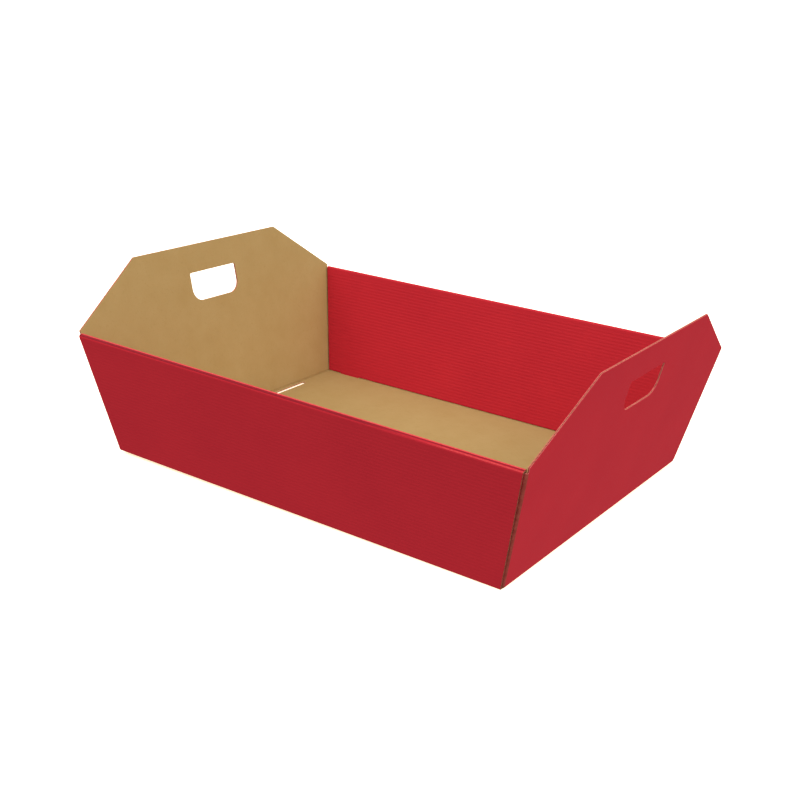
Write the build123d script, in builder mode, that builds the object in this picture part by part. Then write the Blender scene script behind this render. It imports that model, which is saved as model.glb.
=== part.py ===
"""Cardboard tray box, folded from one sheet of thin corrugated board.

The base carries two long walls and two end walls, all leaning outwards.  Each long wall
is double: it rolls over at the rim in a flat-topped fold and comes back down to the base,
where its tabs drop through slots.  Each end wall is a single sheet that rises above the
rim to a six-sided handle with a hand hole, and its corner flaps are caught between the
two layers of the long walls.  Millimetres; +X along the tray, +Z up, and the origin at
the middle of the base's underside.
"""
from build123d import *
import os
from math import atan, cos, radians, sin, tan

# --- The sheet -----------------------------------------------------------------
board = 1.5              # thickness of the corrugated board
fold_radius = 0.6        # inner radius of every fold
layer_gap = 0.5          # air between neighbouring layers of a long wall
cut_clearance = 0.4      # room between a cut edge and the board next to it

# --- The base, over its outer corners -------------------------------------------
base_length = 400.0
base_width = 312.0

# --- The long walls --------------------------------------------------------------
long_lean = radians(11.1)    # outwards from upright
long_slant = 110.0           # up the outer face, from the base corner to the rim
foot_edge_gap = 1.2          # outer layer's side edge to the end wall's outer face, at the foot
rim_edge_gap = 2.6           # the same at the rim, and all the way up the inner layer
foot_spread = 5.0            # the inner layer stands this much further in at the base than at the rim

# --- The end walls ----------------------------------------------------------------
end_lean = radians(12.8)     # outwards from upright
handle_slant = 165.0         # up the outer face, from the base corner to the top edge
handle_width = 195.0         # along the top edge
corner_drop = 2.4            # from the rim down to the top of the corner folds and flaps

# --- The hand holes ----------------------------------------------------------------
hole_width = 62.5
hole_height = 27.5
hole_drop = 26.5             # top edge of the handle to the top of the hole
hole_top_radius = 1.5
hole_bottom_radius = 12.0

# --- The corner flaps ----------------------------------------------------------------
flap_length = 90.0           # from the corner fold to the free end
flap_taper = 8.0             # how much narrower the free end is, at each of its corners
flap_corner_radius = 6.0

# --- The tabs of the inner layer, and the slot beside one end's fold --------------------
tab_width = 24.0
tab_inset = 30.0             # the tab's middle from the base corner
end_slot_length = 194.0
end_slot_width = 4.8
end_slot_inset = 5.2         # the slot's outer edge from the base corner

# --- Worked out from the sizes above ----------------------------------------------------
middle_radius = fold_radius + board / 2         # fold radius at the middle of the board
outer_radius = fold_radius + board
flap_depth = board + layer_gap                  # long wall's outer face to the flap's
inner_middle = 2 * (board + layer_gap) + board / 2   # the same to the middle of the inner layer
rim_height = long_slant * cos(long_lean)
rim_inner_height = (long_slant - board / 2) * cos(long_lean) + inner_middle * sin(long_lean)
inner_lean = atan(tan(long_lean) + foot_spread / rim_inner_height)
end_rim_slant = rim_height / cos(end_lean)
overlap = 4 * board                             # stretch that two joined lengths of board share
reach = base_length                             # longer than half of any part of the tray


def long_wall_point(slant: float, depth: float) -> tuple[float, float]:
    """(y, z) of a point up a long wall's slope and in from its outer face."""
    y = base_width / 2 + slant * sin(long_lean) - depth * cos(long_lean)
    z = slant * cos(long_lean) + depth * sin(long_lean)
    return (y, z)


def long_wall_slant(height: float, depth: float) -> float:
    """Slant at which a line at this depth in a long wall reaches this height."""
    return (height - depth * sin(long_lean)) / cos(long_lean)


def inner_layer_point(height: float) -> tuple[float, float]:
    """(y, z) of the point at this height in the middle of a long wall's inner layer."""
    y, z = long_wall_point(long_wall_slant(height, inner_middle), inner_middle)
    return (y - foot_spread * (1 - height / rim_inner_height), z)


def rim_end_y(slant: float) -> float:
    """Half width of an end wall flush with the long walls' outer faces."""
    return base_width / 2 + slant * cos(end_lean) * tan(long_lean)


def crease_y(slant: float) -> float:
    """Half width of an end wall at the sharp line of its corner folds."""
    return rim_end_y(slant) - flap_depth / cos(long_lean)


def flap_x(slant: float) -> float:
    """Place of the corner fold along a flap's own plane, at this slant up the flap."""
    height = slant * cos(long_lean) + flap_depth * sin(long_lean)
    return -(base_length / 2 + height * tan(end_lean))


def side_profile(foot_gap: float, top_gap: float) -> list[tuple[float, float]]:
    """Outline in XZ that trims a long wall's side edges, with its gaps to the end faces."""
    top = rim_height + overlap
    foot_x = base_length / 2 - foot_gap
    slope = tan(end_lean) - (top_gap - foot_gap) / rim_height
    top_x = foot_x + top * slope
    return [(-foot_x, 0), (foot_x, 0), (top_x, top), (-top_x, top)]


# --- Base, outer layers and rims: one folded strip ----------------------------------------
base_corner = long_wall_point(long_wall_slant(board / 2, board / 2), board / 2)
rim_outer = long_wall_point(long_slant - board / 2, board / 2)
rim_inner = inner_layer_point(rim_inner_height)
rim_end = inner_layer_point(rim_inner_height - overlap)
half_strip = [base_corner, rim_outer, rim_inner, rim_end]
other_half = [(-y, z) for y, z in reversed(half_strip)]

with BuildPart() as outer_strip:
    with BuildSketch(Plane.YZ):
        with BuildLine():
            FilletPolyline(*other_half, *half_strip, radius=middle_radius)
        trace(line_width=board)
    extrude(amount=reach, both=True)
    with BuildSketch(Plane.XZ):
        with BuildLine():
            Polyline(*side_profile(foot_edge_gap, rim_edge_gap), close=True)
        make_face()
    extrude(amount=base_width, both=True, mode=Mode.INTERSECT)

# --- Inner layers, from the rims down to the base --------------------------------------------
end_rise = board / 2 * sin(inner_lean)          # a square-cut edge's middle above its lower corner
foot_height = board + cut_clearance + end_rise
inner_foot = inner_layer_point(foot_height)

with BuildPart() as inner_layers:
    with BuildSketch(Plane.YZ):
        with BuildLine():
            Line(inner_foot, rim_end)
        trace(line_width=board)
    extrude(amount=reach, both=True)
    with BuildSketch(Plane.XZ):
        with BuildLine():
            Polyline(*side_profile(rim_edge_gap, rim_edge_gap), close=True)
        make_face()
    extrude(amount=base_width, both=True, mode=Mode.INTERSECT)
    mirror(about=Plane.XZ)

# --- Tabs of the inner layers, and the slots that they drop through ----------------------------
tab_places = [-(base_length / 2 - tab_inset), base_length / 2 - tab_inset]
tab_tip = inner_layer_point(cut_clearance / 2 + end_rise)
tab_root = inner_layer_point(overlap)
slot_bottom = inner_layer_point(-overlap)

with BuildPart() as tabs:
    for x in tab_places:
        with BuildSketch(Plane.YZ.offset(x)):
            with BuildLine():
                Line(tab_tip, tab_root)
            trace(line_width=board)
        extrude(amount=tab_width / 2, both=True)
    mirror(about=Plane.XZ)

with BuildPart() as tab_slots:
    for x in tab_places:
        with BuildSketch(Plane.YZ.offset(x)):
            with BuildLine():
                Line(slot_bottom, tab_root)
            trace(line_width=board + 2 * cut_clearance)
        extrude(amount=tab_width / 2 + cut_clearance, both=True)
    mirror(about=Plane.XZ)

# --- One end wall, with its fold to the base ------------------------------------------------------
end_plane = Plane(
    origin=(base_length / 2, 0, 0),
    x_dir=(0, 1, 0),
    z_dir=(cos(end_lean), 0, -sin(end_lean)),
)
flap_origin = long_wall_point(0, flap_depth)
flap_plane = Plane(
    origin=(0, flap_origin[0], flap_origin[1]),
    x_dir=(-1, 0, 0),
    z_dir=(0, cos(long_lean), -sin(long_lean)),
)

# The corner fold runs where the end wall's outer face meets the flap's.
crease = Vector(sin(end_lean), cos(end_lean) * tan(long_lean), cos(end_lean))
crease_stretch = crease.length                  # crease length for each unit of end slant
crease = crease.normalized()
along_end = end_plane.z_dir.cross(crease)
along_flap = crease.cross(flap_plane.z_dir)
corner_angle = radians(along_end.get_angle(along_flap))
corner_setback = outer_radius / tan(corner_angle / 2)
leg = 2 * outer_radius                          # flat board left on each side of a fold strip

fold_foot_slant = (board + 2 * cut_clearance) / cos(end_lean)
fold_top_slant = end_rim_slant - corner_drop
panel_foot_slant = 2 * board

# The handle's slopes aim at the rim's outer corners, and end where they meet the corner folds.
handle_spread = (rim_end_y(end_rim_slant) - handle_width / 2) / (handle_slant - end_rim_slant)
seam_inset = flap_depth / cos(long_lean) + corner_setback
corner_slant = end_rim_slant + seam_inset / (handle_spread + cos(end_lean) * tan(long_lean))

with BuildPart() as end_wall:
    with BuildSketch(end_plane):
        with BuildLine():
            right_side = [
                (crease_y(panel_foot_slant) - corner_setback, panel_foot_slant),
                (crease_y(corner_slant) - corner_setback, corner_slant),
                (handle_width / 2, handle_slant),
            ]
            left_side = [(-y, slant) for y, slant in reversed(right_side)]
            Polyline(*right_side, *left_side, close=True)
        make_face()
    extrude(amount=-board)

    # The hand hole: a straight top edge and well-rounded lower corners.
    with BuildSketch(end_plane):
        with Locations((0, handle_slant - hole_drop - hole_height / 2)):
            Rectangle(hole_width, hole_height)
        fillet(vertices().group_by(Axis.Y)[0], hole_bottom_radius)
        fillet(vertices().group_by(Axis.Y)[-1], hole_top_radius)
    extrude(amount=-board, mode=Mode.SUBTRACT)

    # The fold to the base, with a stub of each.
    fold_x = base_length / 2 + board / 2 * (tan(end_lean) - 1 / cos(end_lean))
    stub = 2 * leg                              # base board made with the fold
    fold_half_width = crease_y(0) - corner_setback
    with BuildSketch(Plane.XZ):
        with BuildLine():
            FilletPolyline(
                (fold_x - stub, board / 2),
                (fold_x, board / 2),
                (fold_x + leg * sin(end_lean), board / 2 + leg * cos(end_lean)),
                radius=middle_radius,
            )
        trace(line_width=board)
    extrude(amount=fold_half_width, both=True)

    # The corner fold, swept up its crease.
    fold_foot = end_plane.from_local_coords((crease_y(fold_foot_slant), fold_foot_slant, 0))
    middle_x = board / 2 / tan(corner_angle / 2)
    with BuildSketch(Plane(origin=fold_foot, x_dir=along_end, z_dir=crease)):
        with BuildLine():
            FilletPolyline(
                (middle_x + leg, -board / 2),
                (middle_x, -board / 2),
                (middle_x + leg * cos(corner_angle), -board / 2 - leg * sin(corner_angle)),
                radius=middle_radius,
            )
        trace(line_width=board)
    extrude(amount=(fold_top_slant - fold_foot_slant) * crease_stretch)

    # The corner flap, cut narrower towards its free end.
    flap_foot = (board + 2 * cut_clearance - flap_depth * sin(long_lean)) / cos(long_lean)
    flap_top = (fold_top_slant * cos(end_lean) - flap_depth * sin(long_lean)) / cos(long_lean)
    with BuildSketch(flap_plane):
        with BuildLine():
            Polyline(
                (flap_x(flap_foot) + corner_setback, flap_foot),
                (flap_x(flap_top) + corner_setback, flap_top),
                (flap_x(flap_top) + flap_length, flap_top - flap_taper),
                (flap_x(flap_foot) + flap_length, flap_foot + flap_taper),
                close=True,
            )
        make_face()
        fillet(vertices().sort_by(Axis.X)[-2:], flap_corner_radius)
    extrude(amount=-board)
    mirror(about=Plane.XZ)

# --- The whole sheet -------------------------------------------------------------------------
fold_room = leg                                 # the base is cut back this far for the end's fold
cut_depth = 4 * board                           # well past both faces, so that no skin is left

with BuildPart() as tray:
    add(outer_strip.part)
    add(tab_slots.part, mode=Mode.SUBTRACT)
    for side in (-1, 1):
        with Locations((side * base_length / 2, 0, 0)):
            Box(2 * fold_room, 2 * fold_half_width, cut_depth, mode=Mode.SUBTRACT)
    add(inner_layers.part)
    add(tabs.part)
    add(end_wall.part)
    mirror(end_wall.part, about=Plane.YZ)

    # The long slot in the base, beside one end's fold.
    with Locations((-base_length / 2 + end_slot_inset, 0, 0)):
        Box(
            end_slot_width,
            end_slot_length,
            cut_depth,
            align=(Align.MIN, Align.CENTER, Align.CENTER),
            mode=Mode.SUBTRACT,
        )

tray.part.label = "tray"
os.makedirs("parts", exist_ok=True)
export_step(tray.part, "parts/tray.step")
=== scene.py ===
"""Blender scene for the cardboard tray box.

The tray is folded from one sheet of E-flute corrugated board: a printed liner outside, a wavy
fluting medium and a bare kraft liner inside.  Each layer is modelled as a thin closed shell that
follows the folds, so the flutes are open at every cut edge and show through the liners as fine
washboard lines.  Sizes are in millimetres until a mesh is made.
"""

import logging
from collections.abc import Callable
from dataclasses import dataclass, field
from enum import Enum
from math import atan, cos, pi, radians, sin, tan

import bpy
import numpy as np
from mathutils import Matrix, Vector


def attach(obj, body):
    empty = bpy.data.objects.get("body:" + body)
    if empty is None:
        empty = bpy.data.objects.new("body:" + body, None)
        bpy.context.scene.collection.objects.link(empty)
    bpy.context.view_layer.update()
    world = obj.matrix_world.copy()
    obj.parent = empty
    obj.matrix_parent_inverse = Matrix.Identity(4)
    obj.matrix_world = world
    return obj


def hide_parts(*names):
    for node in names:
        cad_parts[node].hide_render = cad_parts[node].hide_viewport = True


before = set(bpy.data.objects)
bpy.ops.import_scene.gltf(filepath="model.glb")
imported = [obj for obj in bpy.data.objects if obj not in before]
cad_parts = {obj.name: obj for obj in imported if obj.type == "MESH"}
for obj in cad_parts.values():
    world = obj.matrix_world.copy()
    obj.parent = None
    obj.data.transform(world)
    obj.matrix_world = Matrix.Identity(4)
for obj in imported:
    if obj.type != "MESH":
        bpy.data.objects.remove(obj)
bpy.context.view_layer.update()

MM = 0.001
NODE = "tray"
BODY = "root"
SHADED_FLAT_TOP = -1.0            # mark for the rims' flat tops, painted darker as shade; above 0, print worn pale with a painted highlight

Pair = tuple[float, float]
Socket = bpy.types.NodeSocket

log = logging.getLogger("tray")


def linear(hex_colour: str) -> tuple[float, float, float, float]:
    """Turn an sRGB hex colour into linear RGBA.

    Args:
        hex_colour: six hex digits, with or without a leading #.

    Returns:
        The linear red, green and blue, and an alpha of 1.
    """
    digits = hex_colour.lstrip("#")
    channels = [int(digits[i:i + 2], 16) / 255 for i in (0, 2, 4)]
    return (*[c / 12.92 if c <= 0.04045 else ((c + 0.055) / 1.055) ** 2.4 for c in channels], 1.0)


def connect(tree: bpy.types.NodeTree, node: bpy.types.Node, inputs: dict) -> None:
    """Set a node's inputs.

    Args:
        tree: the node's tree.
        node: the node.
        inputs: socket name or index, to a value or to another node's output socket.
    """
    for socket, value in inputs.items():
        if isinstance(value, Socket):
            tree.links.new(value, node.inputs[socket])
        else:
            node.inputs[socket].default_value = value


def add_node(tree: bpy.types.NodeTree, kind: str, inputs: dict | None = None, **settings) -> bpy.types.Node:
    """Add one node with its settings and links.

    Args:
        tree: the tree that takes the node.
        kind: the node's type, such as ShaderNodeMix.
        inputs: what connect takes.
        **settings: the node's own properties.

    Returns:
        The new node.
    """
    node = tree.nodes.new(kind)
    for name, value in settings.items():
        setattr(node, name, value)
    connect(tree, node, inputs or {})
    return node


# --- Sizes of the folded sheet ----------------------------------------


@dataclass(frozen=True)
class Board:
    """E-flute corrugated board, with depth measured in from the printed face."""

    thickness: float = 1.5
    liner: float = 0.26          # paper thickness of each liner
    medium: float = 0.20         # paper thickness of the fluting
    pitch: float = 3.2           # from flute to flute
    printed_sag: float = 0.07    # dip of the printed liner between two flutes
    kraft_sag: float = 0.012     # the same on the bare liner, which is pulled flatter
    samples: int = 8             # grid lines for each flute
    fold_radius: float = 0.6     # inner radius of every fold
    layer_gap: float = 0.5       # air between neighbouring layers of a long wall
    cut_clearance: float = 0.4   # room between a cut edge and the board next to it

    @property
    def middle_radius(self) -> float:
        """Fold radius at the middle of the board."""
        return self.fold_radius + self.thickness / 2

    @property
    def outer_radius(self) -> float:
        """Fold radius at the printed face."""
        return self.fold_radius + self.thickness

    def wave(self, across: np.ndarray) -> np.ndarray:
        """1 on the flutes that touch the printed liner and -1 halfway between them."""
        return np.cos(2 * pi * across / self.pitch)


@dataclass(frozen=True)
class TraySizes:
    """Driving sizes of the tray, the same as the construction model's."""

    board: Board = field(default_factory=Board)
    base_length: float = 400.0
    base_width: float = 312.0
    long_lean: float = radians(11.1)
    long_slant: float = 110.0
    foot_edge_gap: float = 1.2
    rim_edge_gap: float = 2.6
    foot_spread: float = 5.0
    end_lean: float = radians(12.8)
    handle_slant: float = 165.0
    handle_width: float = 195.0
    corner_drop: float = 2.4
    hole_width: float = 62.5
    hole_height: float = 27.5
    hole_drop: float = 26.5
    hole_top_radius: float = 1.5
    hole_bottom_radius: float = 12.0
    flap_length: float = 90.0
    flap_taper: float = 8.0
    flap_corner_radius: float = 6.0
    tab_width: float = 24.0
    tab_inset: float = 30.0
    end_slot_length: float = 194.0
    end_slot_width: float = 4.8
    end_slot_inset: float = 5.2

    @property
    def rim_height(self) -> float:
        """Height of the rim over the floor."""
        return self.long_slant * cos(self.long_lean)

    @property
    def flap_depth(self) -> float:
        """From a long wall's outer face in to its corner flap's."""
        return self.board.thickness + self.board.layer_gap

    @property
    def inner_middle(self) -> float:
        """From a long wall's outer face in to the middle of its inner layer."""
        return 2 * self.flap_depth + self.board.thickness / 2

    @property
    def rim_inner_height(self) -> float:
        """Height of the sharp corner between the rim's flat top and an inner layer."""
        slant = self.long_slant - self.board.thickness / 2
        return slant * cos(self.long_lean) + self.inner_middle * sin(self.long_lean)

    @property
    def inner_lean(self) -> float:
        """Lean of an inner layer, whose foot is spread away from the outer layer's."""
        return atan(tan(self.long_lean) + self.foot_spread / self.rim_inner_height)

    @property
    def fold_top_slant(self) -> float:
        """Slant up the end wall at which its corner folds end."""
        return self.rim_height / cos(self.end_lean) - self.corner_drop

    def long_wall_point(self, slant: float, depth: float) -> Pair:
        """(y, z) of a point up a long wall's slope and in from its outer face."""
        lean = self.long_lean
        y = self.base_width / 2 + slant * sin(lean) - depth * cos(lean)
        return (y, slant * cos(lean) + depth * sin(lean))

    def inner_layer_point(self, height: float) -> Pair:
        """(y, z) at this height in the middle of a long wall's inner layer."""
        slant = (height - self.inner_middle * sin(self.long_lean)) / cos(self.long_lean)
        y, z = self.long_wall_point(slant, self.inner_middle)
        return (y - self.foot_spread * (1 - height / self.rim_inner_height), z)

    def rim_end_y(self, slant: float) -> float:
        """Half width of an end wall flush with the long walls' outer faces."""
        return self.base_width / 2 + slant * cos(self.end_lean) * tan(self.long_lean)

    def crease_y(self, slant: float) -> float:
        """Half width of an end wall at the sharp line of its corner folds."""
        return self.rim_end_y(slant) - self.flap_depth / cos(self.long_lean)

    def flap_x(self, slant: float) -> float:
        """Place along the tray of the corner fold's sharp line, at this slant up the flap."""
        height = slant * cos(self.long_lean) + self.flap_depth * sin(self.long_lean)
        return self.base_length / 2 + height * tan(self.end_lean)


# --- Geometry of folded, layered card ---------------------------------


class FoldedPath:
    """A line of straight runs joined by tangent arcs, measured along its length.

    The printed face lies on the right of the direction of travel.
    """

    def __init__(self, corners: list[Pair], radius: float) -> None:
        """Lay out the runs and arcs.

        Args:
            corners: sharp corners of the line, with its two ends.
            radius: radius of every arc.
        """
        points = np.array(corners, float)
        runs = np.diff(points, axis=0)
        lengths = np.hypot(runs[:, 0], runs[:, 1])
        headings = np.unwrap(np.arctan2(runs[:, 1], runs[:, 0]))
        turns = np.diff(headings)
        setbacks = np.concatenate([[0.0], radius * np.tan(np.abs(turns) / 2), [0.0]])
        pieces = []                 # where each starts, its origin, its first heading and its bend
        travelled = 0.0
        self.folds: list[Pair] = []
        for i, length in enumerate(lengths):
            straight = length - setbacks[i] - setbacks[i + 1]
            direction = runs[i] / length
            pieces.append((travelled, points[i] + direction * setbacks[i], headings[i], 0.0))
            travelled += straight
            if i < len(turns):
                arc = radius * abs(turns[i])
                origin = points[i + 1] - direction * setbacks[i + 1]
                pieces.append((travelled, origin, headings[i], np.sign(turns[i]) / radius))
                self.folds.append((travelled, travelled + arc))
                travelled += arc
        self.length = travelled
        self.starts, self.origins, self.angles, self.bends = (np.array(column) for column in zip(*pieces))

    def at(self, distance: np.ndarray) -> tuple[np.ndarray, np.ndarray]:
        """Points on the line and the directions out of its printed face.

        Args:
            distance: lengths from the line's start, of any shape.

        Returns:
            Points and outward normals, each with a last axis of two.
        """
        index = np.clip(np.searchsorted(self.starts, distance, side="right") - 1, 0, len(self.starts) - 1)
        gone = distance - self.starts[index]
        first = self.angles[index]
        bend = self.bends[index]
        heading = first + bend * gone
        safe = np.where(bend == 0, 1.0, bend)
        step_a = np.where(bend == 0, np.cos(first) * gone, (np.sin(heading) - np.sin(first)) / safe)
        step_b = np.where(bend == 0, np.sin(first) * gone, (np.cos(first) - np.cos(heading)) / safe)
        points = self.origins[index] + np.stack([step_a, step_b], axis=-1)
        return points, np.stack([np.sin(heading), -np.cos(heading)], axis=-1)


@dataclass
class Patch:
    """A grid over one panel: lines across the flutes, and points along each of them."""

    across: np.ndarray                       # (n,) place across the flutes
    along: np.ndarray                        # (n, m) place along the flutes
    kept: np.ndarray                         # (n - 1, m - 1) cells that hold board
    place: Callable[[np.ndarray, np.ndarray, np.ndarray], np.ndarray]
    calm: np.ndarray                         # (n,) 1 where flutes are whole, 0 where folds crush them
    worn_and_painted_light: np.ndarray                         # (n, m) how worn or cracked the print is, with painted highlight and shade along folds and rims
    turned: bool = False                     # the panel is a mirror image


class Paper(Enum):
    """The three papers of the board, and the sides of them that can be seen."""

    PRINTED = "printed_liner"
    FLUTING = "fluting"
    KRAFT = "kraft_liner"


@dataclass
class Solid:
    """Points, four-sided faces and what each of them shows."""

    points: np.ndarray
    faces: np.ndarray
    finish: np.ndarray
    worn_and_painted_light: np.ndarray


def shell(patch: Patch, low: np.ndarray, high: np.ndarray) -> Solid:
    """Make the closed shell of one paper between two depths.

    Args:
        patch: the panel's grid.
        low: (n,) depth of the side nearer the printed face.
        high: (n,) depth of the other side.

    Returns:
        The shell.  Its finish numbers are 0 for the low side, 1 for the high side, 2 for the
        cut edges all round the grid and 3 for those inside it.
    """
    n, m = patch.along.shape
    lines = np.repeat(patch.across[:, None], m, axis=1)
    sides = [patch.place(lines, patch.along, np.repeat(d[:, None], m, axis=1)) for d in (low, high)]
    points = np.concatenate([side.reshape(-1, 3) for side in sides])
    index = np.arange(n * m).reshape(n, m)
    a, b, c, d = index[:-1, :-1], index[1:, :-1], index[1:, 1:], index[:-1, 1:]
    kept = patch.kept
    under = np.stack([a, b, c, d], axis=-1)[kept]
    over = np.stack([a, d, c, b], axis=-1)[kept] + n * m
    room = np.pad(kept, 1)
    here = room[1:-1, 1:-1]
    rim = np.pad(np.ones(kept.shape, bool), 1)
    edges, edge_finish = [], []
    for start, end, beyond in (
        (b, a, np.s_[1:-1, :-2]),
        (c, b, np.s_[2:, 1:-1]),
        (d, c, np.s_[1:-1, 2:]),
        (a, d, np.s_[:-2, 1:-1]),
    ):
        open_side = here & ~room[beyond]
        first, last = start[open_side], end[open_side]
        edges.append(np.stack([first, last, last + n * m, first + n * m], axis=-1))
        edge_finish.append(np.where(rim[beyond][open_side], 3, 2))
    faces = np.concatenate([under, over, *edges])
    finish = np.concatenate([np.zeros(len(under), int), np.ones(len(over), int), *edge_finish])
    if patch.turned:
        faces = faces[:, ::-1]
    used, faces = np.unique(faces, return_inverse=True)
    worn_and_painted_light = np.tile(patch.worn_and_painted_light.ravel(), 2)[used]
    return Solid(points[used], faces.reshape(-1, 4), finish, worn_and_painted_light)


def paper_depths(board: Board, paper: Paper, patch: Patch) -> tuple[np.ndarray, np.ndarray]:
    """Depths of the two sides of one paper, along every grid line.

    Args:
        board: the sheet.
        paper: which of its papers.
        patch: the panel's grid.

    Returns:
        The depth of the side nearer the printed face, and of the other side.
    """
    wave = board.wave(patch.across)
    if paper is Paper.PRINTED:
        sag = board.printed_sag * patch.calm * (1 - wave) / 2
        return sag, sag + board.liner
    if paper is Paper.KRAFT:
        sag = board.kraft_sag * patch.calm * (1 + wave) / 2
        return board.thickness - board.liner - sag, board.thickness - sag
    swing = board.thickness / 2 - board.liner - board.medium / 2
    middle = board.thickness / 2 - swing * wave
    return middle - board.medium / 2, middle + board.medium / 2


def grid_lines(first: float, last: float, board: Board, specials: list[float]) -> np.ndarray:
    """Places across the flutes for a panel's grid lines.

    Args:
        first: one side of the panel.
        last: the other side.
        board: the sheet, which gives the spacing.
        specials: further places that need a line of their own.

    Returns:
        The sorted places.
    """
    step = board.pitch / board.samples
    inner = np.arange(np.ceil(first / step), np.floor(last / step) + 1) * step
    wanted = np.array([first, last, *specials])
    clear = np.abs(inner[:, None] - wanted[None, :]).min(axis=1) > step / 4
    places = np.concatenate([inner[clear], wanted])
    return np.unique(np.round(places[(places >= first) & (places <= last)], 4))


def outline_sides(corners: list[Pair], across: np.ndarray) -> tuple[np.ndarray, np.ndarray]:
    """Lower and upper edge of a convex outline at each grid line.

    Args:
        corners: the outline's points (across, along), in order.
        across: the grid lines.

    Returns:
        The lower and the upper place along each line.
    """
    points = np.array(corners + corners[:1])
    low = np.full(len(across), np.inf)
    high = np.full(len(across), -np.inf)
    for (a0, b0), (a1, b1) in zip(points[:-1], points[1:]):
        inside = (across >= min(a0, a1) - 1e-6) & (across <= max(a0, a1) + 1e-6)
        share = (across - a0) / (a1 - a0) if abs(a1 - a0) > 1e-9 else np.zeros(len(across))
        value = b0 + np.clip(share, 0, 1) * (b1 - b0)
        low = np.where(inside, np.minimum(low, value), low)
        high = np.where(inside, np.maximum(high, value), high)
    return low, high


def rows_between(levels: list[np.ndarray], counts: list[int]) -> np.ndarray:
    """Fill a grid's rows between levels that change from line to line.

    Args:
        levels: (n,) arrays, in rising order.
        counts: rows to make from each level to the next.

    Returns:
        The (n, m) places along the lines.
    """
    rows = [levels[0]]
    for low, high, count in zip(levels[:-1], levels[1:], counts):
        rows += [low + (high - low) * k / count for k in range(1, count + 1)]
    return np.stack(rows, axis=1)


@dataclass(frozen=True)
class Settling:
    """How the folded sheet has settled: a slight twist, and walls that lean a little off."""

    sizes: TraySizes
    twist: float = 3.825e-5        # rise for each square millimetre of x times y
    left: float = radians(0.65)    # each wall's extra lean
    right: float = radians(-0.44)
    front: float = radians(-0.25)
    back: float = radians(-0.20)

    def apply(self, points: np.ndarray) -> np.ndarray:
        """Move points of the true form to where they have settled.

        Args:
            points: (n, 3) places in millimetres.

        Returns:
            The settled places, none of them under the floor.
        """
        s = self.sizes
        x, y, z = points.T
        half_length, half_width = s.base_length / 2, s.base_width / 2
        end = np.where(x < 0, tan(s.end_lean + self.left), tan(s.end_lean + self.right)) - tan(s.end_lean)
        side = np.where(y < 0, tan(s.long_lean + self.front), tan(s.long_lean + self.back))
        side = side - tan(s.long_lean)
        shift_x = z * end * np.clip(x / half_length, -1, 1)
        shift_y = z * side * np.clip(y / half_width, -1, 1)
        lift = self.twist * half_length * half_width
        return np.stack([x + shift_x, y + shift_y, z + self.twist * x * y + lift], axis=1)


# --- Finishes ---------------------------------------------------------


class Coat:
    """One material, with short names for the nodes that every paper here is made of."""

    def __init__(self, name: str) -> None:
        """Start the material.

        Args:
            name: the real material's name.
        """
        self.material = bpy.data.materials.new(name)
        self.material.use_nodes = True
        self.tree = self.material.node_tree
        self.shader = self.tree.nodes["Principled BSDF"]
        self.where = add_node(self.tree, "ShaderNodeTexCoord").outputs["Object"]

    def worn_and_painted_light(self) -> Socket:
        """The mesh's own mark for worn or cracked print and flattened paper at folds; it also places
        painted highlights on the folds and painted shade in the creases and on the rims' flat tops.
        """
        return add_node(self.tree, "ShaderNodeAttribute", attribute_name="worn_and_painted_light").outputs["Fac"]

    def stretched(self, scale: tuple[float, float, float]) -> Socket:
        """Object coordinates scaled along each axis."""
        mapping = add_node(
            self.tree, "ShaderNodeMapping", {"Vector": self.where, "Scale": scale}, vector_type="POINT",
        )
        return mapping.outputs["Vector"]

    def noise(self, size: float, detail: float, roughness: float, where: Socket | None = None) -> Socket:
        """Noise with features this many millimetres across."""
        inputs = {"Scale": 1 / (size * MM), "Detail": detail, "Roughness": roughness}
        inputs["Vector"] = where or self.where
        return add_node(self.tree, "ShaderNodeTexNoise", inputs).outputs["Fac"]

    def combine(self, operation: str, *values: Socket) -> Socket:
        """Two values put together by a Math node's operation."""
        node = add_node(self.tree, "ShaderNodeMath", dict(enumerate(values)), operation=operation)
        return node.outputs[0]

    def remap(self, value: Socket, low: float, high: float, to_low: float = 0.0,
              to_high: float = 1.0) -> Socket:
        """A value carried from one range to another and kept inside it."""
        inputs = {"Value": value, "From Min": low, "From Max": high, "To Min": to_low, "To Max": to_high}
        return add_node(self.tree, "ShaderNodeMapRange", inputs).outputs["Result"]

    def blend(self, share: Socket, first: Socket | str, second: str) -> Socket:
        """Two colours mixed by a share; a string is an sRGB hex colour."""
        ground = linear(first) if isinstance(first, str) else first
        inputs = {"Factor": share, "A": ground, "B": linear(second)}
        return add_node(self.tree, "ShaderNodeMix", inputs, data_type="RGBA").outputs["Result"]

    def finish(self, colour: Socket, roughness: Socket | float,
               tooth: Socket, strength: float, depth: float, specular: float) -> None:
        """Set the colour, the paper's tooth and the shine.

        Args:
            colour: the base colour.
            roughness: the shader's roughness.
            tooth: height of the surface, from 0 to 1.
            strength: how much the tooth shows.
            depth: the tooth's full height in millimetres.
            specular: the shader's specular level.
        """
        bump = add_node(
            self.tree, "ShaderNodeBump", {"Height": tooth, "Strength": strength, "Distance": depth * MM},
        )
        connect(self.tree, self.shader, {
            "Base Color": colour, "Roughness": roughness, "Specular IOR Level": specular,
            "Normal": bump.outputs["Normal"],
        })


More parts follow.
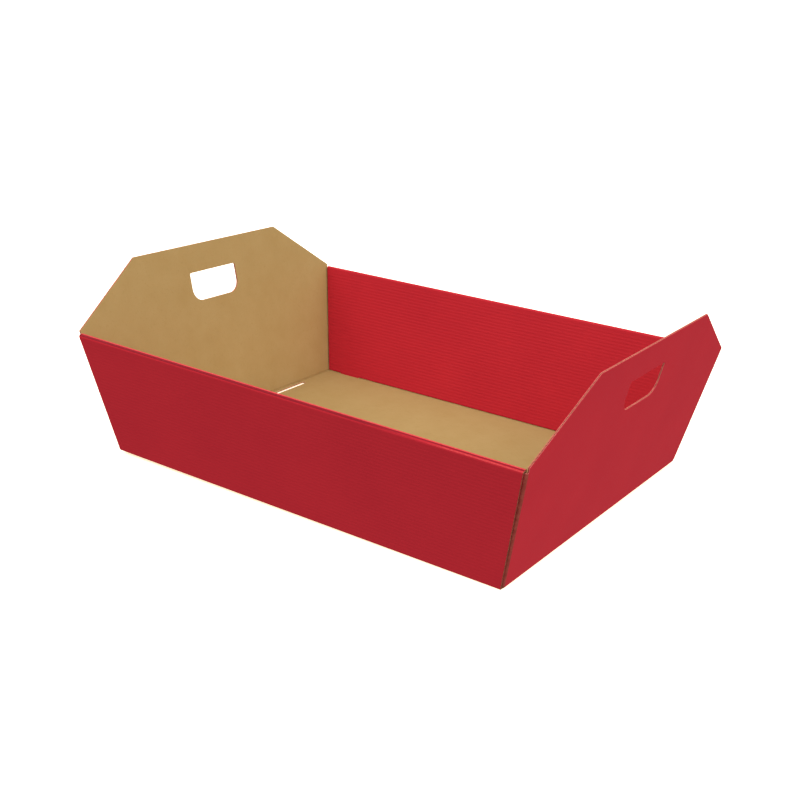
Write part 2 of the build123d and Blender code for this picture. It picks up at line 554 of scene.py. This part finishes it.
@dataclass(frozen=True)
class PrintedLiner:
    """Flexo-printed liner: water-based ink, rolled on and left satin."""

    name: str = "flexo_printed_liner"
    ink: str = "BB2833"
    thin_ink: str = "C22B35"          # where the paper drank less of it
    worn_and_highlit: str = "E8605C"            # print stretched and worn pale at folds, which also stands for a painted highlight along the creases
    rim_top_shade: str = "861C26"           # painted shade: the rim's flat top made darker
    cloud: float = 55.0               # size in mm of the slow change in ink
    grain: float = 0.9                # paper grain in mm, coarser than real so that it shows
    roughness: Pair = (0.46, 0.6)

    def build(self) -> bpy.types.Material:
        """Satin red with slow clouding and fine grain, worn pale at folds with a painted highlight there,
        and darker on the rims' flat tops as painted shade.
        """
        coat = Coat(self.name)
        cloud = coat.noise(self.cloud, detail=3.0, roughness=0.55)
        grain = coat.noise(self.grain, detail=2.0, roughness=0.6)
        ink = coat.blend(coat.remap(coat.combine("ADD", cloud, grain), 0.7, 1.3), self.ink, self.thin_ink)
        worn_and_painted_light = coat.worn_and_painted_light()
        # Pale at folds: worn ink and a painted highlight, broken up by the grain.
        patchy = coat.combine("MULTIPLY", worn_and_painted_light, grain)
        colour = coat.blend(coat.remap(patchy, 0.08, 0.5), ink, self.worn_and_highlit)
        # Painted shade on the rims' flat tops, where the mark is below 0.
        colour = coat.blend(coat.remap(worn_and_painted_light, 0.0, SHADED_FLAT_TOP), colour, self.rim_top_shade)
        roughness = coat.remap(grain, 0.3, 0.7, *self.roughness)
        coat.finish(colour, roughness, grain, strength=0.25, depth=0.04, specular=0.02)
        return coat.material


@dataclass(frozen=True)
class KraftPaper:
    """Unbleached kraft liner, machine-finished: tan, matt, with a fine fibre fleck."""

    name: str = "unbleached_kraft_liner"
    base: str = "AC8E59"
    pale: str = "B19460"
    dark: str = "997A45"
    crease_crush_and_shade: str = "6E5228"           # flattened fibres and painted shade along a sharp crease
    cloud: float = 26.0               # mm between denser and thinner parts of the paper
    fibre: float = 2.2                # mm length of the fibres that show
    roughness: float = 0.86

    def build(self) -> bpy.types.Material:
        """Tan paper with clouding, short fibres and a faint tooth, darker along creases for flattened
        fibres and painted shade.
        """
        coat = Coat(self.name)
        cloud = coat.noise(self.cloud, detail=4.0, roughness=0.6)
        drawn = coat.stretched((0.35, 1.0, 1.0))        # fibres lie along the tray
        fibre = coat.noise(self.fibre, detail=5.0, roughness=0.7, where=drawn)
        ground = coat.blend(coat.remap(cloud, 0.3, 0.7), self.base, self.pale)
        colour = coat.blend(coat.remap(fibre, 0.56, 0.76, 0.0, 0.4), ground, self.dark)
        # Darker along creases: flattened fibres and painted shade in the crease.
        colour = coat.blend(coat.worn_and_painted_light(), colour, self.crease_crush_and_shade)
        coat.finish(colour, self.roughness, fibre, strength=0.3, depth=0.05, specular=0.12)
        return coat.material


@dataclass(frozen=True)
class RawPaper:
    """Paper that has only been cut, squashed or cracked: no print and no finish."""

    name: str
    light: str
    dark: str
    spot: float = 1.6                 # mm size of its light and dark spots
    roughness: float = 0.92

    def build(self) -> bpy.types.Material:
        """Matt paper in two close shades."""
        coat = Coat(self.name)
        spots = coat.noise(self.spot, detail=3.0, roughness=0.65)
        colour = coat.blend(coat.remap(spots, 0.35, 0.65), self.light, self.dark)
        coat.finish(colour, self.roughness, spots, strength=0.5, depth=0.08, specular=0.08)
        return coat.material


class Handling(Enum):
    """What a part of the sheet has been through, and whether its side edges carry painted shade."""

    CLEAN = "die cut and left alone"
    # Side edges painted dark as the shade in the narrow gaps at the corner seams.
    SHADE_DARK = "side edges dark with painted shade"
    CRACKED = "print cracked along a sharp fold"


class Finishes:
    """Every material of the tray, made once."""

    def __init__(self) -> None:
        """Build the materials."""
        self.printed = PrintedLiner().build()
        self.kraft = KraftPaper().build()
        # The ink's red runs into the fibres that the die tore, so the cut looks salmon.
        self.printed_edge = RawPaper("die_cut_printed_edge", light="E8706F", dark="D45A5B").build()
        # Bare fluting, browner than the liner, seen end on between the liners.
        self.fluting = RawPaper("recycled_fluting", light="D9A07C", dark="BE8560").build()
        # The kraft liner's cut: fresh, pale fibres.
        self.kraft_edge = RawPaper("die_cut_kraft_edge", light="F0C096", dark="DCA87A").build()
        # The long walls' side edges, painted dark as the shade in the narrow gaps against the end walls.
        self.shade_dark_edge = RawPaper("shade_dark_side_edge", light="93453A", dark="74372D").build()
        # Print that cracked along a sharp corner fold and let the brown paper through.
        self.cracked = RawPaper("cracked_corner_crease", light="A04A3E", dark="8A382F", spot=3.0).build()

    def of(self, paper: Paper, handling: Handling) -> list[bpy.types.Material]:
        """Materials for a paper's low side, high side, outer cut edges and inner cut edges.

        Args:
            paper: which paper of the board.
            handling: what this part of the sheet has been through.

        Returns:
            The four materials, in the order of a shell's finish numbers.
        """
        outside = self.cracked if handling is Handling.CRACKED else self.printed
        # The long walls' side edges take the dark painted shade.
        shade_dark = handling is Handling.SHADE_DARK
        outer_edge = self.shade_dark_edge if shade_dark else self.printed_edge
        inner_edge = self.kraft_edge if shade_dark else self.printed_edge
        sides = {
            Paper.PRINTED: [outside, self.fluting],
            Paper.FLUTING: [self.fluting, self.fluting],
            Paper.KRAFT: [self.fluting, self.kraft],
        }
        return [*sides[paper], outer_edge, inner_edge]


# --- The tray's sub-assemblies ----------------------------------------


class Maker:
    """Turns patches into Blender pieces and keeps the count of triangles."""

    def __init__(self, settling: Settling, finishes: Finishes) -> None:
        """Keep what every piece needs.

        Args:
            settling: how the sheet has settled.
            finishes: the tray's materials.
        """
        self.settling = settling
        self.finishes = finishes
        self.pieces: list[bpy.types.Object] = []

    def piece(self, name: str, solids: list[Solid],
              materials: list[bpy.types.Material]) -> None:
        """Join shells into one smooth-shaded piece that rides on the tray's body.

        Args:
            name: the piece's name.
            solids: its shells, with finish numbers into materials.
            materials: its material slots.
        """
        offsets = np.cumsum([0] + [len(s.points) for s in solids[:-1]])
        points = self.settling.apply(np.concatenate([s.points for s in solids])) * MM
        faces = np.concatenate([s.faces + o for s, o in zip(solids, offsets)])
        finish = np.concatenate([s.finish for s in solids])
        worn_and_painted_light = np.concatenate([s.worn_and_painted_light for s in solids])
        mesh = bpy.data.meshes.new(name)
        mesh.from_pydata(points.tolist(), [], faces.tolist())
        for material in materials:
            mesh.materials.append(material)
        mesh.polygons.foreach_set("material_index", finish.astype(np.int32))
        mesh.polygons.foreach_set("use_smooth", np.ones(len(faces), bool))
        # Mark for worn print, painted highlights and painted shade, which the materials read.
        attribute = mesh.attributes.new("worn_and_painted_light", "FLOAT", "POINT")
        attribute.data.foreach_set("value", worn_and_painted_light.astype(np.float32))
        mesh.set_sharp_from_angle(angle=radians(40))
        mesh.update()
        obj = bpy.data.objects.new(name, mesh)
        bpy.context.scene.collection.objects.link(obj)
        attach(obj, BODY)
        self.pieces.append(obj)
        log.info("%s: %d triangles", name, 2 * len(faces))

    def layers(self, name: str, patches: list[Patch], board: Board, handling: Handling) -> None:
        """Make the three papers of some panels, one piece each.

        Args:
            name: the panels' name, which starts each piece's.
            patches: the panels.
            board: the sheet.
            handling: what these panels have been through.
        """
        for paper in Paper:
            solids = [shell(patch, *paper_depths(board, paper, patch)) for patch in patches]
            self.piece(f"{name}_{paper.value}", solids, self.finishes.of(paper, handling))


@dataclass
class LongStrip:
    """Base, both double long walls and their rims: one strip folded across the tray."""

    sizes: TraySizes
    calm_start: float = 0.9        # flutes are squashed flat up to this far from a fold
    calm_reach: float = 3.0        # and are whole this much further on
    inner_show: float = 1.5        # the inner layers' ribs, which nothing has flattened
    fold_wear: tuple[float, ...] = (0.85, 0.5, 0.15)    # inner and outer rim fold, base fold: worn print with a painted highlight, and painted shade in the crease
    wear_reach: float = 0.4        # half width of a worn line
    least_wear: float = 0.05       # fainter than this, a worn line has ended
    fold_steps: int = 8

    def path(self) -> FoldedPath:
        """The strip's section, from one inner layer's tab round to the other's."""
        s = self.sizes
        half = s.board.thickness / 2
        tab_tip = s.inner_layer_point(s.board.cut_clearance / 2 + half * sin(s.inner_lean))
        base_slant = (half - half * sin(s.long_lean)) / cos(s.long_lean)
        side = [
            s.long_wall_point(base_slant, half),
            s.long_wall_point(s.long_slant - half, half),
            s.inner_layer_point(s.rim_inner_height),
            tab_tip,
        ]
        return FoldedPath([(-y, z) for y, z in reversed(side)] + side, s.board.middle_radius)

    def patch(self) -> Patch:
        """The strip's grid, with its slots, tabs and room for the end folds cut out."""
        s = self.sizes
        board = s.board
        path = self.path()
        centre = path.length / 2
        folds = [(start - centre, end - centre) for start, end in path.folds]
        # The tab's tip is half a clearance over the ground, and the foot one over the base.
        foot = centre - (board.thickness + board.cut_clearance / 2) / cos(s.inner_lean)
        slot_middle = s.inner_layer_point(board.thickness / 2)[0]
        slot_half = (board.thickness / 2 + board.cut_clearance) / cos(s.inner_lean)
        slot_sides = [slot_middle - slot_half, slot_middle + slot_half]
        end_fold_half = EndWall(s, 1).fold_half_width()
        specials = [end_fold_half, *slot_sides, foot, s.end_slot_length / 2]
        specials += [-value for value in specials]
        for start, end in folds:
            specials += list(np.linspace(start, end, self.fold_steps + 1))
        across = grid_lines(-centre, centre, board, specials)
        middle_points, _ = path.at(across + centre)
        height = np.clip(middle_points[:, 1], 0, s.rim_height)
        rim_start = folds[-2][0]
        gap = np.where(
            np.abs(across) < rim_start,
            s.foot_edge_gap + (s.rim_edge_gap - s.foot_edge_gap) * height / s.rim_height,
            s.rim_edge_gap,
        )
        half_x = s.base_length / 2 - gap + middle_points[:, 1] * tan(s.end_lean)
        tab_middle = s.base_length / 2 - s.tab_inset
        tab_half = s.tab_width / 2
        tab_low, tab_high = tab_middle - tab_half, tab_middle + tab_half
        room = board.cut_clearance
        fold_room = s.base_length / 2 - 2 * board.outer_radius
        end_slot = s.base_length / 2 - s.end_slot_inset - s.end_slot_width
        inner_rows = [
            0.0, tab_middle / 2, tab_low - room, tab_low, tab_high, tab_high + room, end_slot,
            end_slot + s.end_slot_width, fold_room,
        ]
        rows = [np.full(len(across), x) for x in inner_rows] + [half_x]
        along = np.stack([-row for row in reversed(rows[1:])] + rows, axis=1)
        mid_u = np.abs((across[1:] + across[:-1]) / 2)[:, None]
        signed_x = (along[:-1, 1:] + along[:-1, :-1]) / 2
        mid_x = np.abs(signed_x)
        in_base = mid_u < end_fold_half
        off_centre = np.abs(mid_x - tab_middle)
        kept = ~(in_base & (mid_x > fold_room))
        beside_fold = (signed_x < -end_slot) & (signed_x > -end_slot - s.end_slot_width)
        kept &= ~(beside_fold & (mid_u < s.end_slot_length / 2))
        in_slot = (mid_u > slot_sides[0]) & (mid_u < slot_sides[1])
        kept &= ~(in_slot & (off_centre < tab_half + room))
        kept &= ~((mid_u > foot) & (off_centre > tab_half))

        def place(line: np.ndarray, x: np.ndarray, depth: np.ndarray) -> np.ndarray:
            """Points at a place round the strip, along the tray and into the board."""
            points, out = path.at(line + centre)
            points = points + out * (board.thickness / 2 - depth)[..., None]
            return np.stack([x, points[..., 0], points[..., 1]], axis=-1)

        calm = np.where(np.abs(across) > folds[-1][1], self.inner_show, 1.0)
        # The rims' flat tops are marked below 0 for painted shade.
        flat_top = (np.abs(across) > (folds[-2][0] + folds[-2][1]) / 2) & (np.abs(across) < folds[-1][0])
        worn_and_painted_light = np.repeat(np.where(flat_top, SHADED_FLAT_TOP, 0.0)[:, None], along.shape[1], axis=1)
        for number, (start, end) in enumerate(folds):
            distance = np.maximum(np.maximum(start - across, across - end), 0)
            calm = calm * np.clip((distance - self.calm_start) / self.calm_reach, 0, 1)
            order = min(number, len(folds) - 1 - number)
            middle = (start + end) / 2
            if order == 0:
                middle = end if number == 0 else start      # where the flat top begins
            # A line along each fold: worn print with a painted highlight on the printed side, painted shade
            # in the crease on the kraft side.
            line = self.fold_wear[order] * np.exp(-((across - middle) / self.wear_reach) ** 2)[:, None]
            if order == 1:
                line = line * (along > tab_middle - s.tab_width)    # kept near one end only
            worn_and_painted_light = np.where(line > self.least_wear, np.maximum(worn_and_painted_light, line), worn_and_painted_light)
        return Patch(across, along, kept, place, calm, worn_and_painted_light)

    def build(self, maker: Maker) -> None:
        """Make the strip's three papers."""
        maker.layers("base_and_long_walls", [self.patch()], self.sizes.board, Handling.SHADE_DARK)


@dataclass
class EndWall:
    """An end wall with its fold to the base, hand hole, corner folds and corner flaps."""

    sizes: TraySizes
    side: int                      # 1 for the right end, -1 for the left
    flute_show: float = 0.3        # share of the liner's dip between flutes, flattened more here
    fold_wear: float = 0.35
    wear_reach: float = 0.8
    fold_steps: int = 6
    corner_steps: int = 8
    corner_rows: int = 90
    rounding_points: int = 7       # on each rounded corner of a flap

    def corner_frame(self) -> dict[str, np.ndarray | float]:
        """Directions at the corner crease, for the corner at +x and +y."""
        s = self.sizes
        end_out = np.array([cos(s.end_lean), 0.0, -sin(s.end_lean)])
        flap_out = np.array([0.0, cos(s.long_lean), -sin(s.long_lean)])
        crease = np.array([sin(s.end_lean), cos(s.end_lean) * tan(s.long_lean), cos(s.end_lean)])
        stretch = float(np.linalg.norm(crease))
        crease = crease / stretch
        along_end = np.cross(end_out, crease)
        along_end = along_end * -np.sign(along_end[1])
        along_flap = np.cross(crease, flap_out)
        along_flap = along_flap * -np.sign(along_flap[0])
        angle = float(np.arccos(np.dot(along_end, along_flap)))
        return {
            "end_out": end_out, "flap_out": flap_out, "crease": crease, "stretch": stretch,
            "along_end": along_end, "along_flap": along_flap, "angle": angle,
            "setback": s.board.outer_radius / tan(angle / 2),
        }

    def fold_half_width(self) -> float:
        """Half the length of the fold between base and end wall."""
        return self.sizes.crease_y(0) - self.corner_frame()["setback"]

    def path(self) -> FoldedPath:
        """Section from the stub of base, round the fold and up the wall."""
        s = self.sizes
        half = s.board.thickness / 2
        fold_x = s.base_length / 2 + half * (tan(s.end_lean) - 1 / cos(s.end_lean))
        fold_slant = half / cos(s.end_lean) * (1 - sin(s.end_lean))
        stub_x = s.base_length / 2 - 2 * s.board.outer_radius
        rise = s.handle_slant - fold_slant
        top = (fold_x + rise * sin(s.end_lean), half + rise * cos(s.end_lean))
        return FoldedPath([(stub_x, half), (fold_x, half), top], s.board.middle_radius)

    def panel(self) -> Patch:
        """The wall's grid, with its hand hole."""
        s = self.sizes
        board = s.board
        path = self.path()
        wall_start = path.length - s.handle_slant        # distance along the path at slant 0
        fold_half = self.fold_half_width()
        setback = self.corner_frame()["setback"]
        foot = 2 * board.thickness
        # The handle's slopes aim at the rim's outer corners, and end at the corner folds.
        rim_slant = s.rim_height / cos(s.end_lean)
        spread = (s.rim_end_y(rim_slant) - s.handle_width / 2) / (s.handle_slant - rim_slant)
        seam_inset = s.flap_depth / cos(s.long_lean) + setback
        corner_slant = rim_slant + seam_inset / (spread + cos(s.end_lean) * tan(s.long_lean))
        corner_y = s.crease_y(corner_slant) - setback
        hole_half = s.hole_width / 2
        hole_top = s.handle_slant - s.hole_drop
        hole_foot = hole_top - s.hole_height
        low_r, top_r = s.hole_bottom_radius, s.hole_top_radius
        specials = [s.handle_width / 2, fold_half, corner_y]
        for radius, points in ((low_r, 9), (top_r, 5)):
            specials += [hole_half - radius * (1 - sin(t)) for t in np.linspace(0, pi / 2, points)]
        specials += [-value for value in specials]
        across = grid_lines(-corner_y, corner_y, board, specials)
        y = np.abs(across)
        side_y = [fold_half, s.crease_y(foot) - setback, corner_y]
        tip_room = 0.01                                 # keeps the last cell from closing up
        low = np.interp(y, side_y, [foot, foot, corner_slant - tip_room])
        high = np.interp(y, [s.handle_width / 2, corner_y], [s.handle_slant, corner_slant])
        lower_arc, upper_arc = (
            np.sqrt(radius**2 - np.clip(y - hole_half + radius, 0, radius) ** 2)
            for radius in (low_r, top_r)
        )
        # Beside the hole its rows run on across the wall, squeezed in under the handle's slopes.
        squeeze_low, squeeze_high = 0.8, 0.9
        opening_low = np.minimum(hole_foot + low_r - lower_arc, low + squeeze_low * (high - low))
        opening_high = np.minimum(hole_top - top_r + upper_arc, low + squeeze_high * (high - low))

        everywhere = np.ones(len(across))
        fold_start, fold_end = path.folds[0]
        levels = [everywhere * v for v in (0.0, fold_start, fold_end)]
        levels += [wall_start + v for v in (low, opening_low, opening_high, high)]
        counts = [1, self.fold_steps, 1, 3, 2, 3]
        along = rows_between(levels, counts)
        fold_rows = sum(counts[:3])
        hole_rows = slice(sum(counts[:4]), sum(counts[:5]))
        mid_y = np.abs((across[1:] + across[:-1]) / 2)
        kept = np.ones((len(across) - 1, along.shape[1] - 1), bool)
        kept[mid_y > fold_half, :fold_rows] = False
        kept[mid_y < hole_half, hole_rows] = False

        def place(line: np.ndarray, travelled: np.ndarray, depth: np.ndarray) -> np.ndarray:
            """Points at a place across the wall, up it and into the board."""
            points, out = path.at(travelled)
            points = points + out * (board.thickness / 2 - depth)[..., None]
            return np.stack([self.side * points[..., 0], line, points[..., 1]], axis=-1)

        # A line along the base fold: worn print with a painted highlight outside, painted shade in the
        # crease inside.
        distance = np.maximum(np.maximum(fold_start - along, along - fold_end), 0)
        worn_and_painted_light = self.fold_wear * np.exp(-(distance / self.wear_reach) ** 2)
        calm = np.full(len(across), self.flute_show)
        return Patch(across, along, kept, place, calm, worn_and_painted_light, turned=self.side < 0)

    def corner_fold(self, hand: int) -> Patch:
        """The fold from the wall to one corner flap.

        Args:
            hand: 1 for the back corner, -1 for the front.

        Returns:
            The fold's grid, round the fold and up its crease.
        """
        s = self.sizes
        board = s.board
        corner = self.corner_frame()
        foot = (board.thickness + 2 * board.cut_clearance) / cos(s.end_lean)
        top = s.fold_top_slant
        turn = pi - corner["angle"]
        across = np.linspace(0, 1, self.corner_steps + 1)
        along = np.repeat(np.linspace(foot, top, self.corner_rows + 1)[None, :], len(across), axis=0)
        kept = np.ones((len(across) - 1, along.shape[1] - 1), bool)
        bisector = corner["along_end"] + corner["along_flap"]
        bisector = bisector / np.linalg.norm(bisector)
        to_axis = bisector * board.outer_radius / sin(corner["angle"] / 2)
        mirror = np.array([self.side, hand, 1.0])

        def place(share: np.ndarray, slant: np.ndarray, depth: np.ndarray) -> np.ndarray:
            """Points round the fold, up its crease and into the board."""
            start = np.array([s.base_length / 2, s.crease_y(0), 0.0])
            axis = start + to_axis + (slant * corner["stretch"])[..., None] * corner["crease"]
            end_part = (np.sin((1 - share) * turn) / sin(turn))[..., None] * corner["end_out"]
            flap_part = (np.sin(share * turn) / sin(turn))[..., None] * corner["flap_out"]
            return (axis + (end_part + flap_part) * (board.outer_radius - depth)[..., None]) * mirror

        still = np.zeros(len(across))
        turned = self.side * hand < 0
        return Patch(across, along, kept, place, still, np.zeros(along.shape), turned=turned)

    def flap(self, hand: int) -> Patch:
        """One corner flap, tapered and rounded towards its free end.

        Args:
            hand: 1 for the back corner, -1 for the front.

        Returns:
            The flap's grid, along the tray and up the slope.
        """
        s = self.sizes
        board = s.board
        setback = self.corner_frame()["setback"]
        lean = s.long_lean
        foot = (board.thickness + 2 * board.cut_clearance - s.flap_depth * sin(lean)) / cos(lean)
        fold_top = s.fold_top_slant * cos(s.end_lean)
        top = (fold_top - s.flap_depth * sin(lean)) / cos(lean)
        fold_side = [(s.flap_x(foot) - setback, foot), (s.flap_x(top) - setback, top)]
        free_side = [
            (s.flap_x(top) - s.flap_length, top - s.flap_taper),
            (s.flap_x(foot) - s.flap_length, foot + s.flap_taper),
        ]
        outline = [
            *fold_side,
            *self.rounded(fold_side[1], free_side[0], free_side[1]),
            *self.rounded(free_side[0], free_side[1], fold_side[0]),
        ]
        xs = [point[0] for point in outline]
        across = grid_lines(min(xs), max(xs), board, xs)
        low, high = outline_sides(outline, across)
        along = rows_between([low, high], [4])
        kept = np.ones((len(across) - 1, along.shape[1] - 1), bool)
        flap_out = self.corner_frame()["flap_out"]
        mirror = np.array([self.side, hand, 1.0])

        def place(x: np.ndarray, slant: np.ndarray, depth: np.ndarray) -> np.ndarray:
            """Points along the flap, up it and into the board."""
            y, z = s.long_wall_point(0, s.flap_depth)
            face = np.stack([x, y + slant * sin(lean), z + slant * cos(lean)], axis=-1)
            return (face - flap_out * depth[..., None]) * mirror

        turned = self.side * hand > 0
        return Patch(across, along, kept, place, np.ones(len(across)), np.zeros(along.shape), turned=turned)

    def rounded(self, before: Pair, corner: Pair, after: Pair) -> list[Pair]:
        """Points of the arc that rounds one corner of a flap.

        Args:
            before: the outline's point before the corner.
            corner: the sharp corner.
            after: the point after it.

        Returns:
            Points from one side of the corner to the other.
        """
        here = Vector(corner)
        back = (Vector(before) - here).normalized()
        on = (Vector(after) - here).normalized()
        angle = back.angle(on)
        reach = self.sizes.flap_corner_radius / tan(angle / 2)
        centre = here + (back + on).normalized() * self.sizes.flap_corner_radius / sin(angle / 2)
        first = here + back * reach - centre
        last = here + on * reach - centre
        span = first.angle(last)
        points = []
        for share in np.linspace(0, 1, self.rounding_points):
            spoke = (first * sin((1 - share) * span) + last * sin(share * span)) / sin(span)
            points.append(tuple(centre + spoke))
        return points

    def build(self, maker: Maker) -> None:
        """Make the wall's papers, then its corner folds and flaps."""
        name = "right_end" if self.side > 0 else "left_end"
        maker.layers(name, [self.panel()], self.sizes.board, Handling.CLEAN)
        flaps = [self.flap(hand) for hand in (-1, 1)]
        maker.layers(f"{name}_flaps", flaps, self.sizes.board, Handling.CLEAN)
        folds = [self.corner_fold(hand) for hand in (-1, 1)]
        maker.layers(f"{name}_corner_folds", folds, self.sizes.board, Handling.CRACKED)


# --- Studio -----------------------------------------------------------


def direction(azimuth: float, elevation: float) -> Vector:
    """Direction from the tray at an azimuth, from -y towards +x, and an elevation."""
    flat = cos(elevation)
    return Vector((sin(azimuth) * flat, -cos(azimuth) * flat, sin(elevation)))


@dataclass(frozen=True)
class SoftBox:
    """One large, far light; azimuth and elevation in degrees, as direction takes them."""

    name: str
    strength: float
    azimuth: float
    elevation: float
    spread: float = 38.0


@dataclass(frozen=True)
class Studio:
    """Pale floor, soft light and the camera."""

    floor_colour: str = "F4F3F1"
    floor_glow: str = "FAE4BE"             # warm light through the floor, as on a light table
    floor_half: float = 30.0               # metres
    surround: float = 0.485                # the white surround's strength on the tray
    soft_boxes: tuple[SoftBox, ...] = (
        SoftBox("left", 1.2, -100.0, 35.0),
        SoftBox("front_high", 1.08, -30.0, 60.0),
        SoftBox("front_low", 0.63, 0.0, 35.0),
        SoftBox("right", 1.56, 90.0, 35.0),
        SoftBox("back_right", 0.33, 140.0, 35.0),
    )
    lens: float = 56.053
    azimuth: float = radians(34.318)
    elevation: float = radians(20.257)
    roll: float = radians(2.485)
    camera_place: tuple[float, float, float] = (589.17, -868.06, 443.36)

    def floor(self) -> None:
        """A wide pale floor under the tray."""
        half = self.floor_half
        mesh = bpy.data.meshes.new("floor")
        corners = [(-half, -half, 0), (half, -half, 0), (half, half, 0), (-half, half, 0)]
        mesh.from_pydata(corners, [], [(0, 1, 2, 3)])
        obj = bpy.data.objects.new("floor", mesh)
        bpy.context.scene.collection.objects.link(obj)
        material = bpy.data.materials.new("studio_floor")
        material.use_nodes = True
        connect(material.node_tree, material.node_tree.nodes["Principled BSDF"], {
            "Base Color": linear(self.floor_colour), "Roughness": 0.9, "Specular IOR Level": 0.1,
            "Emission Color": linear(self.floor_glow), "Emission Strength": 1.0,
        })
        mesh.materials.append(material)
        obj.visible_glossy = False          # keeps the floor's glare off the satin print
        obj.visible_diffuse = False         # and its glow off the walls

    def lights(self) -> None:
        """A white surround and large soft boxes on all sides but the back left."""
        world = bpy.data.worlds.new("studio")
        bpy.context.scene.world = world
        world.use_nodes = True
        tree = world.node_tree
        seen = add_node(tree, "ShaderNodeLightPath").outputs["Is Camera Ray"]
        strength = add_node(
            tree, "ShaderNodeMapRange", {"Value": seen, "To Min": self.surround, "To Max": 1.0},
        )
        white = (1.0, 1.0, 1.0, 1.0)
        connect(tree, tree.nodes["Background"], {"Color": white, "Strength": strength.outputs["Result"]})
        for box in self.soft_boxes:
            light = bpy.data.lights.new(box.name, "SUN")
            light.energy = box.strength
            light.angle = radians(box.spread)
            obj = bpy.data.objects.new(box.name, light)
            towards = direction(radians(box.azimuth), radians(box.elevation))
            obj.rotation_euler = towards.to_track_quat("Z", "Y").to_euler()
            bpy.context.scene.collection.objects.link(obj)

    def camera(self) -> None:
        """The camera, a little rolled, with no shift and no depth of field."""
        data = bpy.data.cameras.new("camera")
        data.lens = self.lens
        data.sensor_width = 36.0
        data.clip_end = 100.0
        obj = bpy.data.objects.new("camera", data)
        back = direction(self.azimuth, self.elevation)
        level = Vector((cos(self.azimuth), sin(self.azimuth), 0.0))
        upright = back.cross(level)
        right = level * cos(self.roll) + upright * sin(self.roll)
        up = upright * cos(self.roll) - level * sin(self.roll)
        obj.matrix_world = Matrix.Translation(Vector(self.camera_place) * MM) @ Matrix(
            (right, up, back)).transposed().to_4x4()
        bpy.context.scene.collection.objects.link(obj)
        bpy.context.scene.camera = obj

    def build(self) -> None:
        """Set up the whole studio."""
        self.floor()
        self.lights()
        self.camera()
        bpy.context.scene.view_settings.view_transform = "Standard"


def main() -> None:
    """Build the tray and its studio."""
    logging.basicConfig(level=logging.INFO, format="%(message)s")
    sizes = TraySizes()
    maker = Maker(Settling(sizes), Finishes())
    Studio().build()
    LongStrip(sizes).build(maker)
    for side in (1, -1):
        EndWall(sizes, side).build(maker)
    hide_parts(NODE)
    bpy.context.view_layer.update()
    total = sum(2 * len(piece.data.polygons) for piece in maker.pieces)
    log.info("whole tray: %d triangles in %d pieces", total, len(maker.pieces))


if __name__ == "__main__":
    main()
